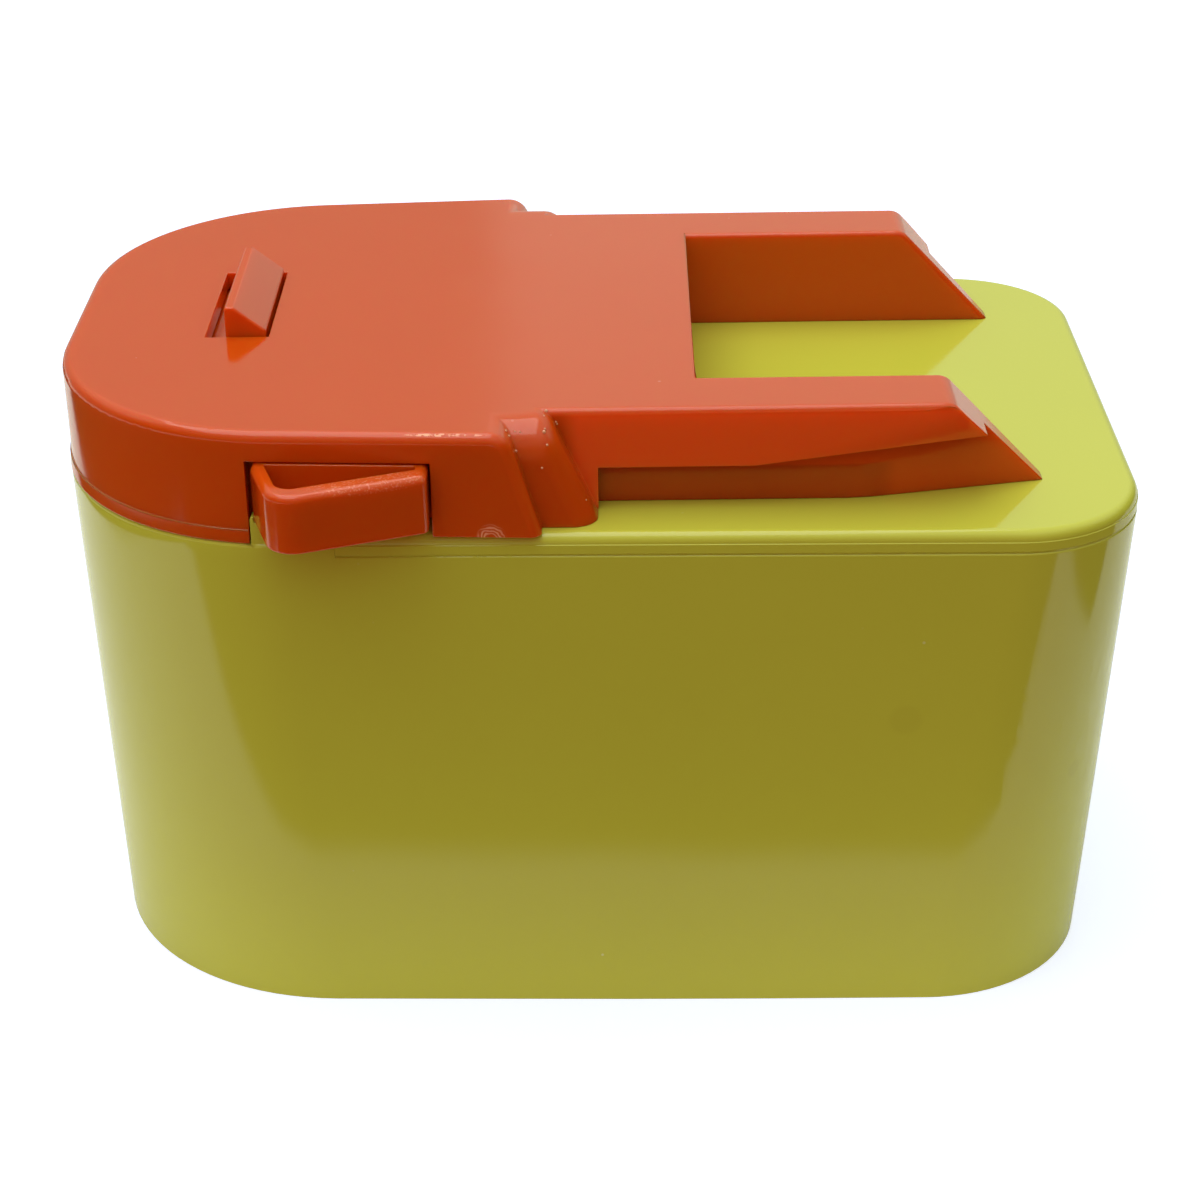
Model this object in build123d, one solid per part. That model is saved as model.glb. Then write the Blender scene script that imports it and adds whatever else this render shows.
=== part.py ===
from build123d import *
import math
import os

os.makedirs("parts", exist_ok=True)

# Millimetres. X runs from the nose to the tail, Y across, Z up from the underside.
# The origin is the middle of the underside.

# Outer form of the housing and lid
length = 118.6               # from the lip round the nose to the tail end
nose_set_back = 0.05         # the housing's nose end lies this far inside the lip
tail_width = 77.2            # across the straight sides, carried on to the tail end
nose_width = 73.2            # across the straight sides, carried on to the nose end
nose_radius = 27.5           # plan corners at the nose
tail_radius = 14.2           # plan corners at the tail
deck_height = 60.4           # underside to the lid's top face
side_draft = 2.4             # the underside lies this much further in at the sides
tail_draft = 2.2             # this much at the tail
nose_draft = 1.1             # and this much at the nose
side_bow = 0.6               # the underside's long edges curve outwards by this much at mid-length
base_nose_radius = 28.4
base_tail_radius = 19.6
housing_wall = 2.5
floor_thickness = 2.6
lid_thickness = 2.4
lid_band = 1.25              # height of the lid's upright band above the parting line
lid_step = 0.08              # the rounded part above the band stands this far inside it
rim_joint = 0.06             # hairline joint between the lid's ends and the housing's rim, below the buttons
guide_height = 2.05          # small stepped guides beside and below the buttons, above the lid's top face
guide_joint = 0.15           # between a guide and the nose end of its window
guide_width = 0.42
guide_foot = 1.5             # width of their lower step
guide_foot_gap = 0.3         # between that step and the button above it
guide_reach = 1.6            # how far they run inwards from the head's sides
rim_drop = 1.0               # the housing's nose rim lies this far below the lid's top face
rim_radius = 0.5
seam_bevel = 0.2             # small bevels that draw the parting line
tongue_depth = 3.0           # locating rib below the lid
tongue_thickness = 1.5
tongue_gap = 0.5             # between the rib and the housing's wall, which leans in below the seam
fit_gap = 0.25               # between pieces that slip together

# Interface head
head_height = 11.6           # lid's top face to the head's top face
head_nose_inset = 1.3        # the head stands this far inside the housing's sides at the nose
head_shoulder_inset = 0.3    # and this far at its wide end
head_nose_radius = 27.0
head_wall = 2.2
head_top_wall = 2.0
head_edge_radius = 1.2
shoulder_end = -5.3          # foot of the wide block's slanted end
shoulder_slant = 3.5         # how far that end leans back at the top
end_top_radius = 2.6         # where the wide block's top runs over into its slanted end
lip_flare = 0.24             # the skirt's foot stands out this much round the nose
lip_step = 0.12              # and this much at the lip's upper edge
lip_height = 1.5
neck_step = 2.5              # the neck stands this much further in than the wide end
neck_end = 0.6               # foot of the neck's slanted end, and the start of the grooves
neck_slant = 5.1
neck_corner = 2.5
neck_shoulder_radius = 4.2   # long rounding along the neck's top edges
rail_width = 62.8
rail_edge_radius = 0.8
arm_end = 38.0               # end of the arms' top faces
arm_tip = 48.9               # foot of the arms' slanted ends
arm_end_radius = 2.0         # where the arms' tops run over into their slanted ends
arm_edge_radius = 0.6        # round the gap between the arms
bay_start = 11.2             # end wall of the gap between the arms
bay_width = 45.4
bay_wall = 2.0
groove_height = 4.85
groove_inner_width = 58.6    # across the rails' stems
stem_taper_start = 28.7
stem_taper = 4.1             # the stems draw in by this much at the arm tips
lead_in_start = 17.0         # the groove's ceiling rises from here to the arm's end
lead_in_rise = 2.45
lead_in_end = 41.6
facet_inset = 1.5            # the lead-in facet draws the flange in by this much at its end
facet_top = 37.0             # where the facet's crease reaches the top edge
arm_core_width = 2.2         # hollow inside each arm
arm_core_start = 13.4
arm_core_end = 26.0
arm_core_height = 8.0

# Latch
latch_slot_start = -43.4
latch_slot_end = -36.3
latch_slot_width = 20.7
latch_offset = 1.0           # the slot and the wedge sit this far off the middle, towards the rear
latch_gap = 0.3              # between the latch and its slot
latch_rise = 3.35            # ridge above the head's top face
ridge_start = -41.15
ridge_end = -40.1
ramp_foot = 0.6              # the ramp ends this far above the head's top face
latch_flange = 1.0           # the latch's block is wider than its slot by this much
latch_block_gap = 0.3        # below the head's ceiling
plate_bottom = 3.9           # above the lid
plate_thickness = 2.5
plate_width = 24.0
plate_end = -25.5
spring_peg_radius = 1.9
spring_peg_height = 2.5

# Release buttons
window_start = -36.15
window_end = -16.8
window_height = 8.7
window_joint = 9.0           # the lid's nose end lies this far behind the window's nose end
button_bottom = 1.7          # above the lid
button_top = 8.2
button_side_gap = 0.7        # at the nose side of the window
button_hinge_gap = 0.2       # at the tail side of the window
button_stand_nose = 9.4      # the outer face's nose corner stands this far out of the head's side
button_stand_tail = 2.75     # and its tail corner
button_nose_straight = 0.5   # the nose side is square to the head this far out, then leans back
button_flare = 2.85          # and by this much at the outer corner
button_corner = 3.2
button_tail_corner = 0.8
button_edge_radius = 0.8     # round the top
button_foot_radius = 0.3     # round the bottom
button_nose_wall = 1.5
button_front_wall = 2.25
button_tail_wall = 1.3
button_back_wall = 0.1       # the pocket starts this far outside the head's side
pocket_corner = 1.8
button_floor = 1.6
button_travel = 3.5
flange_wall_gap = 0.8        # between the flange and the inside of the head's side
flange_thickness = 1.5
flange_overlap = 1.4         # the flange is wider than the window by this much at each side
flange_clearance = 0.3       # above the lid
arm_width = 7.0
arm_centre = -29.5
arm_thickness = 2.2
arm_foot = 3.2               # thickness of the cam's foot along the travel
cam_gap = 0.3                # between the cam face and the latch plate, across the height
arm_ceiling_gap = 0.4
guide_rib = 0.8
guide_depth = 2.6

# Springs
latch_spring_wire = 0.7
latch_spring_radius = 2.9
latch_spring_turns = 6
latch_spring_x = -38.0
cup_depth = 8.0              # below the lid's top face
cup_wall = 1.2
button_spring_wire = 0.6
button_spring_radius = 2.4
button_spring_turns = 6
button_spring_x = -20.0
button_spring_height = 4.6   # above the lid
button_spring_room = 12.1    # from the spring's seat on the lid to the flange
post_thickness = 2.4
post_width = 5.0
post_height = 7.5
post_pin_radius = 1.5
post_pin_length = 3.0

# Terminals for the tool's blades
terminal_spacing = 13.0
terminal_slot_width = 1.6
terminal_slot_height = 6.6
terminal_slot_bottom = 1.4   # above the lid
block_width = 36.0
block_start = -5.0
block_height = 9.0
block_clearance = 0.1
clip_pocket_width = 3.8
clip_height = 5.4
clip_thickness = 0.4
clip_half_width = 1.2
clip_pinch = 0.5
clip_mouth = 6.6
clip_pinch_x = 5.0
clip_back = -3.0
tail_width_of_clip = 2.2
tail_drop = 5.6              # the clips' tail tabs lie this far below the lid's top face
tail_tab = 3.0
cable_slot_start = -5.0
cable_slot_end = -1.0
cable_slot_width = 31.0

# Socket for the battery's stem
socket_centre = 4.0
socket_length = 47.2
socket_width = 33.2
socket_radius = 7.0
wiring_space = 10.0          # from the sleeve's top to the underside of the lid
socket_wall = 2.2
socket_rib_height = 1.2
socket_rib_width = 3.0
socket_rib_spacing = 18.0
sleeve_flange = 4.5
sleeve_flange_thickness = 2.2
stake_radius = 1.4
stake_height = 3.4
carrier_thickness = 2.4
carrier_step = 1.5
carrier_ear_radius = 4.0
carrier_ear_offset = 3.6     # outside the sleeve's wall
carrier_boss_depth = 10.0
contact_width = 6.0
contact_thickness = 0.5
contact_set_in = 2.1         # from the socket's wall
contact_bow = 2.6
contact_length = 20.0
contact_tab = 5.5
contact_tab_rise = 1.6       # above the carrier
contact_bend = 1.0
signal_contact_x = 14.0
hook_window_length = 14.0
hook_window_width = 5.2
hook_window_y = 27.0

# Wires and the resistor
wire_radius = 0.9
resistor_radius = 1.25
resistor_length = 6.5
resistor_lead_radius = 0.3
resistor_lead = 2.5
lead_run = 8.0               # straight run where a lead leaves its tab
lead_step = 0.4              # a lead drifts or drops by this much between two corners
lead_turn = 6.0              # room for a lead's last bend before a contact
lead_swing = 7.0             # how far a lead swings past a contact
lead_reach = 24.0            # the black lead's long run to the tail
lead_lift = 1.2              # a lead rises by this much over the edge of the carrier

# Screws
post_from_tail = 15.3
post_inset_tail = 14.6       # in from the side walls
post_from_nose = 21.25
post_inset_nose = 10.1
screw_post_radius = 4.4
screw_counterbore = 3.1
screw_grip = 14.0            # from the screws' seats to the underside of the lid
screw_clearance = 1.7
screw_radius = 1.4
screw_pilot = 1.25
screw_head_radius = 2.7
screw_head_height = 1.8
screw_length = 15.0
boss_gap = 0.2
head_screw_y_nose = 10.0
head_screw_x_arm = 31.0
head_screw_length = 9.0
head_boss_radius = 3.2
drive_width = 0.8
drive_depth = 1.0

# Derived places
nose_x = -length / 2 + nose_set_back
tail_x = length / 2
head_nose_x = -length / 2 + lip_flare
lid_start = window_start + window_joint
deck = deck_height
seam = deck - lid_thickness
rim = deck - rim_drop
top = deck + head_height
ceiling = top - head_top_wall
head_nose_width = nose_width - 2 * head_nose_inset
head_shoulder_width = tail_width - 2 * head_shoulder_inset
neck_width = head_shoulder_width - 2 * neck_step
groove_y = groove_inner_width / 2
rail_y = rail_width / 2
bay_y = bay_width / 2
arm_y = (bay_y + groove_y) / 2
sleeve_top = seam - wiring_space
carrier_top = sleeve_top + carrier_thickness
tab_level = carrier_top + contact_tab_rise
latch_block_top = ceiling - latch_block_gap
plate_top = deck + plate_bottom + plate_thickness
tail_level = deck - tail_drop
screw_seat = seam - screw_grip
post_x_tail = tail_x - post_from_tail
post_x_nose = nose_x + post_from_nose
head_screw_x_nose = latch_slot_start - latch_flange - latch_gap - head_boss_radius
block_overlap = shoulder_end - shoulder_slant - 2 * end_top_radius

# Plans: both ends, half widths at them, corner radii at them, and how far the sides curve outwards
seam_plan = (nose_x, tail_x, nose_width / 2, tail_width / 2, nose_radius, tail_radius, 0)
base_plan = (
    nose_x + nose_draft,
    tail_x - tail_draft,
    nose_width / 2 - side_draft,
    tail_width / 2 - side_draft,
    base_nose_radius,
    base_tail_radius,
    side_bow,
)
head_plan = (head_nose_x, shoulder_end, head_nose_width / 2, head_shoulder_width / 2, head_nose_radius, 0, 0)


# Small helpers

def plan_face(plan, inset=0.0, z=0.0):
    """Flat outline with tapering sides, large nose corners and smaller tail corners."""
    start, end, half_nose, half_tail, nose_corner, tail_corner, bow = plan
    start, end = start + inset, end - inset
    half_nose, half_tail = half_nose - inset, half_tail - inset
    corners = [(start, -half_nose), (end, -half_tail), (end, half_tail), (start, half_nose)]
    if bow:
        middle, half = (start + end) / 2, (half_nose + half_tail) / 2 + bow
        outline = Wire([
            ThreePointArc(corners[0], (middle, -half), corners[1]).edge(),
            Line(corners[1], corners[2]).edge(),
            ThreePointArc(corners[2], (middle, half), corners[3]).edge(),
            Line(corners[3], corners[0]).edge(),
        ])
        face = Sketch() + Face(outline)
    else:
        face = Polygon(*corners, align=None)
    face = fillet(face.vertices().group_by(Axis.X)[0], nose_corner - inset)
    if tail_corner > inset:
        face = fillet(face.vertices().group_by(Axis.X)[-1], tail_corner - inset)
    return Pos(0, 0, z) * face


def block(x0, x1, y0, y1, z0, z1):
    """Box between two opposite corners."""
    middle = Pos((x0 + x1) / 2, (y0 + y1) / 2, (z0 + z1) / 2)
    return middle * Box(abs(x1 - x0), abs(y1 - y0), abs(z1 - z0))


def post(x, y, z0, z1, radius):
    """Upright cylinder from z0 to z1."""
    return Pos(x, y, z0) * Cylinder(radius, z1 - z0, align=(Align.CENTER, Align.CENTER, Align.MIN))


def rounded_column(length_x, width_y, corner, x, z0, z1):
    """Upright rounded rectangle from z0 to z1, centred on x."""
    face = Pos(x, 0, z0) * RectangleRounded(length_x, width_y, corner)
    return extrude(face, amount=z1 - z0)


def side_prism(points, y0, y1):
    """Outline in X and Z, drawn out from y0 to y1."""
    face = Plane.XZ.offset(-y0) * Polygon(*points, align=None)
    return extrude(face, amount=y1 - y0, dir=(0, 1, 0))


def both_sides(shape):
    """The shape and its mirror image across the middle plane."""
    return shape + mirror(shape, about=Plane.XZ)


def half_width(plan, x):
    """Half of the width of a plan's straight sides at x."""
    start, end, half_nose, half_tail = plan[:4]
    return half_nose + (half_tail - half_nose) * (x - start) / (end - start)


button_y_nose = half_width(head_plan, window_start) + button_stand_nose
button_y_tail = half_width(head_plan, window_end) + button_stand_tail
flange_outer = half_width(head_plan, window_start) - head_wall - flange_wall_gap
post_face = flange_outer - flange_thickness - button_spring_room
post_y_tail = half_width(seam_plan, post_x_tail) - post_inset_tail
post_y_nose = half_width(seam_plan, post_x_nose) - post_inset_nose


def corner_posts():
    """The four places of the housing's screw posts."""
    return [
        (post_x_tail, post_y_tail),
        (post_x_tail, -post_y_tail),
        (post_x_nose, post_y_nose),
        (post_x_nose, -post_y_nose),
    ]


def head_screw_places():
    """The four places where the head is screwed to the lid."""
    return [
        (head_screw_x_nose, head_screw_y_nose),
        (head_screw_x_nose, -head_screw_y_nose),
        (head_screw_x_arm, arm_y),
        (head_screw_x_arm, -arm_y),
    ]


def screw(x, y, z, length_of_shank, up=1):
    """Pan-head screw with a cross drive; its head's seat is at z and its shank points up or down."""
    head = Cylinder(screw_head_radius, screw_head_height, align=(Align.CENTER, Align.CENTER, Align.MAX))
    head = fillet(head.edges().group_by(Axis.Z)[0], screw_head_height * 0.4)
    shank = Cylinder(screw_radius, length_of_shank, align=(Align.CENTER, Align.CENTER, Align.MIN))
    shank = chamfer(shank.edges().group_by(Axis.Z)[-1], screw_radius * 0.5)
    slot = Box(screw_head_radius * 1.1, drive_width, drive_depth, align=(Align.CENTER, Align.CENTER, Align.MIN))
    cross = Pos(0, 0, -screw_head_height) * (slot + Rot(0, 0, 90) * slot)
    whole = head + shank - cross
    if up < 0:
        whole = Rot(180, 0, 0) * whole
    return Pos(x, y, z) * whole


# Housing

def housing():
    """Deep drafted shell with a floor, a raised rim, guides for the buttons and four long screw posts."""
    bevel = seam - seam_bevel
    shell = loft([plan_face(base_plan), plan_face(seam_plan, z=bevel)], ruled=True)
    shell += loft([plan_face(seam_plan, z=bevel), plan_face(seam_plan, seam_bevel, seam)], ruled=True)
    rim_band = extrude(plan_face(seam_plan, z=bevel), amount=rim - bevel)
    rim_band = fillet(rim_band.edges().group_by(Axis.Z)[-1], rim_radius)
    rim_band &= block(nose_x - 1, lid_start - rim_joint, -tail_width, tail_width, bevel, rim)
    inside = loft(
        [plan_face(base_plan, housing_wall, floor_thickness), plan_face(seam_plan, housing_wall, seam)],
        ruled=True,
    )
    rim_inside = extrude(plan_face(seam_plan, housing_wall, seam), amount=rim - seam)
    shell = shell + rim_band - inside - rim_inside
    for x, y in corner_posts():
        shell += post(x, y, floor_thickness / 2, seam - tongue_depth, screw_post_radius)
    shell -= housing_openings()
    return shell + stakes() + both_sides(button_guide())


def housing_openings():
    """Mouth of the stem socket, the two hook windows and the screws' deep bores."""
    gap = 2 * (socket_wall + fit_gap)
    corner = socket_radius + socket_wall + fit_gap
    cuts = rounded_column(socket_length + gap, socket_width + gap, corner, socket_centre, -1, floor_thickness + 1)
    window = block(
        socket_centre - hook_window_length / 2,
        socket_centre + hook_window_length / 2,
        hook_window_y - hook_window_width / 2,
        hook_window_y + hook_window_width / 2,
        -1,
        floor_thickness + 1,
    )
    cuts += both_sides(window)
    for x, y in corner_posts():
        cuts += post(x, y, -1, screw_seat, screw_counterbore)
        cuts += post(x, y, screw_seat - 1, seam, screw_clearance)
    return cuts


def button_guide():
    """Thin upright guide at the nose end of a button's window, with a step below the button."""
    start = window_start + guide_joint
    side = half_width(head_plan, start)
    low = rim - rim_drop / 2
    rib = block(start, start + guide_width, side - guide_reach, side, low, deck + guide_height)
    corner = rib.edges().filter_by(Axis.Y).group_by(Axis.Z)[-1].sort_by(Axis.X)[:1]
    step_top = deck + button_bottom - guide_foot_gap
    step = block(start, start + guide_foot, side - guide_reach, side, low, step_top)
    return fillet(corner, 0.9 * guide_width) + step


def stake_places():
    """Four heat-staked pegs that hold the socket sleeve's flange."""
    x = socket_length / 2 + socket_wall + sleeve_flange * 0.55
    y = socket_width / 2 - socket_radius
    return [(socket_centre + sx * x, sy * y) for sx in (-1, 1) for sy in (-1, 1)]


def stakes():
    """Pegs on the housing's floor, with rounded ends."""
    pegs = Part()
    for x, y in stake_places():
        peg = post(x, y, floor_thickness / 2, floor_thickness + stake_height, stake_radius)
        pegs += fillet(peg.edges().group_by(Axis.Z)[-1], stake_radius * 0.6)
    return pegs


# Socket sleeve

def socket_sleeve():
    """Guide for the battery's stem: a rounded tube with a flange on the floor and ribs inside."""
    outer_x = socket_length + 2 * socket_wall
    outer_y = socket_width + 2 * socket_wall
    corner = socket_radius + socket_wall
    tube = rounded_column(outer_x, outer_y, corner, socket_centre, 0, sleeve_top)
    flange = rounded_column(
        outer_x + 2 * sleeve_flange,
        outer_y + 2 * sleeve_flange * 0.5,
        corner + sleeve_flange * 0.5,
        socket_centre,
        floor_thickness,
        floor_thickness + sleeve_flange_thickness,
    )
    bosses = both_sides(carrier_boss(outer_y / 2 + carrier_ear_offset))
    bore = rounded_column(socket_length, socket_width, socket_radius, socket_centre, -1, sleeve_top + 1)
    mouth = chamfered_mouth()
    sleeve = tube + flange + bosses - bore - mouth + guide_ribs()
    for x, y in stake_places():
        sleeve -= post(x, y, 0, sleeve_top / 2, stake_radius + fit_gap / 2)
    for sign in (-1, 1):
        y = sign * (outer_y / 2 + carrier_ear_offset)
        sleeve -= post(socket_centre, y, sleeve_top - carrier_boss_depth + 1, sleeve_top + 1, screw_pilot)
    return sleeve


def carrier_boss(y):
    """Screw boss beside the sleeve's wall, with a web that joins it."""
    boss = post(socket_centre, y, sleeve_top - carrier_boss_depth, sleeve_top, carrier_ear_radius)
    web = block(
        socket_centre - 1.5,
        socket_centre + 1.5,
        socket_width / 2 + socket_wall / 2,
        y,
        sleeve_top - 2 * carrier_boss_depth,
        sleeve_top,
    )
    return boss + web


def chamfered_mouth():
    """Lead-in round the mouth of the socket."""
    lead = socket_wall * 0.5
    wide = Pos(socket_centre, 0, 0) * RectangleRounded(
        socket_length + 2 * lead, socket_width + 2 * lead, socket_radius + lead
    )
    return extrude(wide, amount=lead, taper=45)


def guide_ribs():
    """Four upright ribs that key the stem."""
    ribs = Part()
    for x in (-socket_rib_spacing / 2, socket_rib_spacing / 2):
        rib = block(
            socket_centre + x - socket_rib_width / 2,
            socket_centre + x + socket_rib_width / 2,
            socket_width / 2 - socket_rib_height,
            socket_width / 2 + socket_wall / 2,
            socket_wall * 2,
            sleeve_top - carrier_step,
        )
        ribs += both_sides(rib)
    return ribs


# Contact carrier and the stem's contacts

def contact_slots():
    """Places of the three stem contacts: the middle of each slot and the way its tab points."""
    x = socket_length / 2 - contact_set_in
    y = socket_width / 2 - contact_set_in
    return {
        "positive": (socket_centre - x, 0.0, 180),
        "negative": (socket_centre + x, 0.0, 0),
        "signal": (signal_contact_x, y, 90),
    }


def contact_carrier():
    """Cap on the sleeve's top that holds the stem contacts; a step locates it in the bore."""
    outer_x = socket_length + 2 * socket_wall
    outer_y = socket_width + 2 * socket_wall
    cap = rounded_column(
        outer_x, outer_y, socket_radius + socket_wall, socket_centre, sleeve_top, carrier_top
    )
    step = rounded_column(
        socket_length - 2 * fit_gap,
        socket_width - 2 * fit_gap,
        socket_radius - fit_gap,
        socket_centre,
        sleeve_top - carrier_step,
        sleeve_top,
    )
    ear_y = outer_y / 2 + carrier_ear_offset
    ear = post(socket_centre, ear_y, sleeve_top, carrier_top, carrier_ear_radius)
    web = block(
        socket_centre - carrier_ear_radius, socket_centre + carrier_ear_radius, 0, ear_y, sleeve_top, carrier_top
    )
    carrier = cap + step + both_sides(ear + web)
    for sign in (-1, 1):
        carrier -= post(socket_centre, sign * ear_y, sleeve_top - 1, carrier_top + 1, screw_clearance)
    slot = Box(contact_thickness + 2 * fit_gap, contact_width + 2 * fit_gap, 4 * carrier_thickness)
    for x, y, turn in contact_slots().values():
        carrier -= Pos(x, y, sleeve_top) * Rot(0, 0, turn) * slot
    return carrier


def strip(points, bend, thickness, width):
    """Bent metal strip: a rounded line in X and Z, with its thickness about the line."""
    line = FilletPolyline(*[(x, 0, z) for x, z in points], radius=bend)
    sections = [
        Plane(line @ 0, x_dir=(0, 1, 0), z_dir=line % 0) * Rectangle(width, thickness)
    ]
    return sweep(sections[0], path=line)


def stem_contact(name):
    """Spring blade: a tab above the carrier, a leg through it and a bowed leaf in the socket."""
    x, y, turn = contact_slots()[name]
    foot = tab_level - contact_length - carrier_thickness
    shape = strip(
        [
            (contact_tab, tab_level),
            (0, tab_level),
            (0, sleeve_top - carrier_step - contact_bend),
            (-contact_bow, (sleeve_top + foot) / 2 - 2),
            (0, foot),
        ],
        contact_bend,
        contact_thickness,
        contact_width,
    )
    return Pos(x, y, 0) * Rot(0, 0, turn) * shape


# Lid

def lid():
    """Top cover with a rounded edge, a locating rib, the latch spring's cup and the spring posts."""
    plate = extrude(plan_face(seam_plan, lid_step, seam), amount=lid_thickness)
    plate = fillet(plate.edges().group_by(Axis.Z)[-1], lid_thickness - lid_band)
    band = extrude(plan_face(seam_plan, z=seam), amount=lid_band)
    band = chamfer(band.edges().group_by(Axis.Z)[0], seam_bevel)
    band = chamfer(band.edges().group_by(Axis.Z)[-1], lid_step)
    plate += band
    plate &= block(lid_start, tail_x + 1, -tail_width, tail_width, seam, deck)
    nose_part = extrude(plan_face(head_plan, head_wall + fit_gap, seam), amount=lid_thickness)
    nose_part &= extrude(plan_face(seam_plan, housing_wall + fit_gap, seam), amount=lid_thickness)
    nose_part &= block(nose_x, lid_start + 1, -tail_width, tail_width, seam, deck)
    rib = tongue()
    cup = post(latch_spring_x, 0, deck - cup_depth - cup_wall, deck, latch_spring_outer + cup_wall)
    cup_bore = post(latch_spring_x, 0, deck - cup_depth, deck + 1, latch_spring_outer)
    body = plate + nose_part + rib + cup - cup_bore
    body += both_sides(spring_post())
    for x, y in corner_posts():
        body += post(x, y, seam - tongue_depth + boss_gap, seam + lid_thickness / 2, screw_post_radius - boss_gap)
    return body - lid_holes()


latch_spring_outer = latch_spring_radius + latch_spring_wire / 2 + fit_gap


def tongue():
    """Locating rib below the lid, just inside the housing's wall."""
    depth = seam - tongue_depth
    inset = housing_wall + tongue_gap
    outer = extrude(plan_face(seam_plan, inset, depth), amount=tongue_depth)
    hollow = extrude(plan_face(seam_plan, inset + tongue_thickness, depth), amount=tongue_depth)
    return (outer - hollow) & block(lid_start, tail_x, -tail_width, tail_width, depth, seam)


def spring_post():
    """Upright seat for one release button's spring, with a pin that holds the coil."""
    wall_part = block(
        button_spring_x - post_width / 2,
        button_spring_x + post_width / 2,
        post_face - post_thickness,
        post_face,
        deck - lid_thickness / 2,
        deck + post_height,
    )
    pin = Cylinder(post_pin_radius, post_pin_length, align=(Align.CENTER, Align.CENTER, Align.MIN))
    pin = chamfer(pin.edges().group_by(Axis.Z)[-1], post_pin_radius * 0.3)
    return wall_part + Pos(button_spring_x, post_face, deck + button_spring_height) * Rot(-90, 0, 0) * pin


def lid_holes():
    """Cable slot, the head screws' holes and the pilot holes of the housing's screws."""
    cuts = block(
        cable_slot_start, cable_slot_end, -cable_slot_width / 2, cable_slot_width / 2, seam - 1, deck + 1
    )
    for x, y in head_screw_places():
        cuts += post(x, y, seam - 1, deck + 1, screw_clearance)
    for x, y in corner_posts():
        cuts += post(x, y, seam - tongue_depth - 1, deck - lid_thickness / 4, screw_pilot)
    return cuts


# Interface head

def wide_block():
    """Wide D-shaped block with a slanted end, rounded edges and a lip round its foot."""
    body = extrude(plan_face(head_plan, z=rim), amount=top - rim)
    slant = [
        (shoulder_end, deck),
        (shoulder_end - shoulder_slant, top),
        (shoulder_end - shoulder_slant, top + 5),
        (shoulder_end + 5, top + 5),
        (shoulder_end + 5, deck),
    ]
    body -= side_prism(slant, -head_shoulder_width, head_shoulder_width)
    body = fillet(body.edges().group_by(Axis.Z)[-1].sort_by(Axis.X)[-1:], end_top_radius)
    body = fillet(body.edges().group_by(Axis.Z)[-1].sort_by(Axis.X)[:-1], head_edge_radius)
    body -= block(lid_start, shoulder_end + 1, -head_shoulder_width, head_shoulder_width, rim - 1, deck)
    taper = math.degrees(math.atan2(lip_flare - lip_step, lip_height))
    lip = extrude(plan_face(head_plan, -lip_flare, rim), amount=lip_height, taper=taper)
    lip &= block(nose_x - 1, lid_start, -head_shoulder_width, head_shoulder_width, rim, top)
    return body + lip


def neck():
    """Narrower block behind the wide one, with a slanted end and a long rounded shoulder."""
    start = block_overlap
    profile = [(start, deck), (neck_end, deck), (neck_end - neck_slant, top), (start, top)]
    body = side_prism(profile, -neck_width / 2, neck_width / 2)
    long_edges = body.edges().group_by(Axis.Z)[-1].filter_by(Axis.X)
    body = fillet(long_edges, neck_shoulder_radius)
    upright = body.edges().filter_by(lambda e: e.center().X > neck_end - neck_slant)
    upright = upright.filter_by(lambda e: abs(e.center().Y) > neck_width / 2 - 0.1 and e.center().Z > deck + 1)
    return fillet(upright, neck_corner)


def rails():
    """Rail block with its grooves, the gap between the arms, the ramps and the lead-in facets."""
    start = block_overlap
    profile = [(start, deck), (arm_tip, deck), (arm_end, top), (start, top)]
    body = side_prism(profile, -rail_y, rail_y)
    body = fillet(body.edges().group_by(Axis.Z)[-1].sort_by(Axis.X)[-1:], arm_end_radius)
    long_edges = body.edges().group_by(Axis.Z)[-1].filter_by(Axis.X)
    body = fillet(long_edges, rail_edge_radius)
    body -= block(bay_start, arm_tip + 1, -bay_y, bay_y, deck - 1, top + 1)
    round_the_gap = body.edges().group_by(Axis.Z)[-1].filter_by(lambda e: abs(e.center().Y) < bay_y + 0.1)
    body = fillet(round_the_gap.filter_by(Axis.X), arm_edge_radius)
    body -= both_sides(groove_cutter())
    return body - both_sides(facet_cutter())


def groove_cutter():
    """Space that the tool's rail runs in: open outwards, with a rising ceiling and tapering stem."""
    slope = lead_in_rise / (lead_in_end - lead_in_start)
    end = arm_tip + 10
    tall = [
        (neck_end, deck - 1),
        (neck_end, deck + groove_height),
        (lead_in_start, deck + groove_height),
        (end, deck + groove_height + slope * (end - lead_in_start)),
        (end, deck - 1),
    ]
    drawn_in = stem_taper * (end - stem_taper_start) / (arm_tip - stem_taper_start)
    wide = [
        (neck_end, groove_y),
        (stem_taper_start, groove_y),
        (end, groove_y - drawn_in),
        (end, rail_y + 5),
        (neck_end, rail_y + 5),
    ]
    plan = extrude(Pos(0, 0, deck - 1) * Polygon(*wide, align=None), amount=head_height)
    return plan & side_prism(tall, 0, rail_y + 6)


def facet_cutter():
    """Everything outside the sloping lead-in facet at the foot of a flange's outer face."""
    low = Vector(lead_in_start, rail_y, deck + groove_height)
    end = Vector(lead_in_end, rail_y - facet_inset, deck + groove_height + lead_in_rise)
    crease = Vector(facet_top, rail_y, top)
    outward = (end - low).cross(crease - low).normalized()
    if outward.Y < 0:
        outward = outward * -1
    plane = Plane(low, x_dir=(crease - low).normalized(), z_dir=outward)
    side = 2 * length
    half_space = plane * Box(side, side, head_height, align=(Align.CENTER, Align.CENTER, Align.MIN))
    return half_space & block(lead_in_start - 4, arm_tip + 5, bay_y, rail_y + 5, deck, top + 1)


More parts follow.
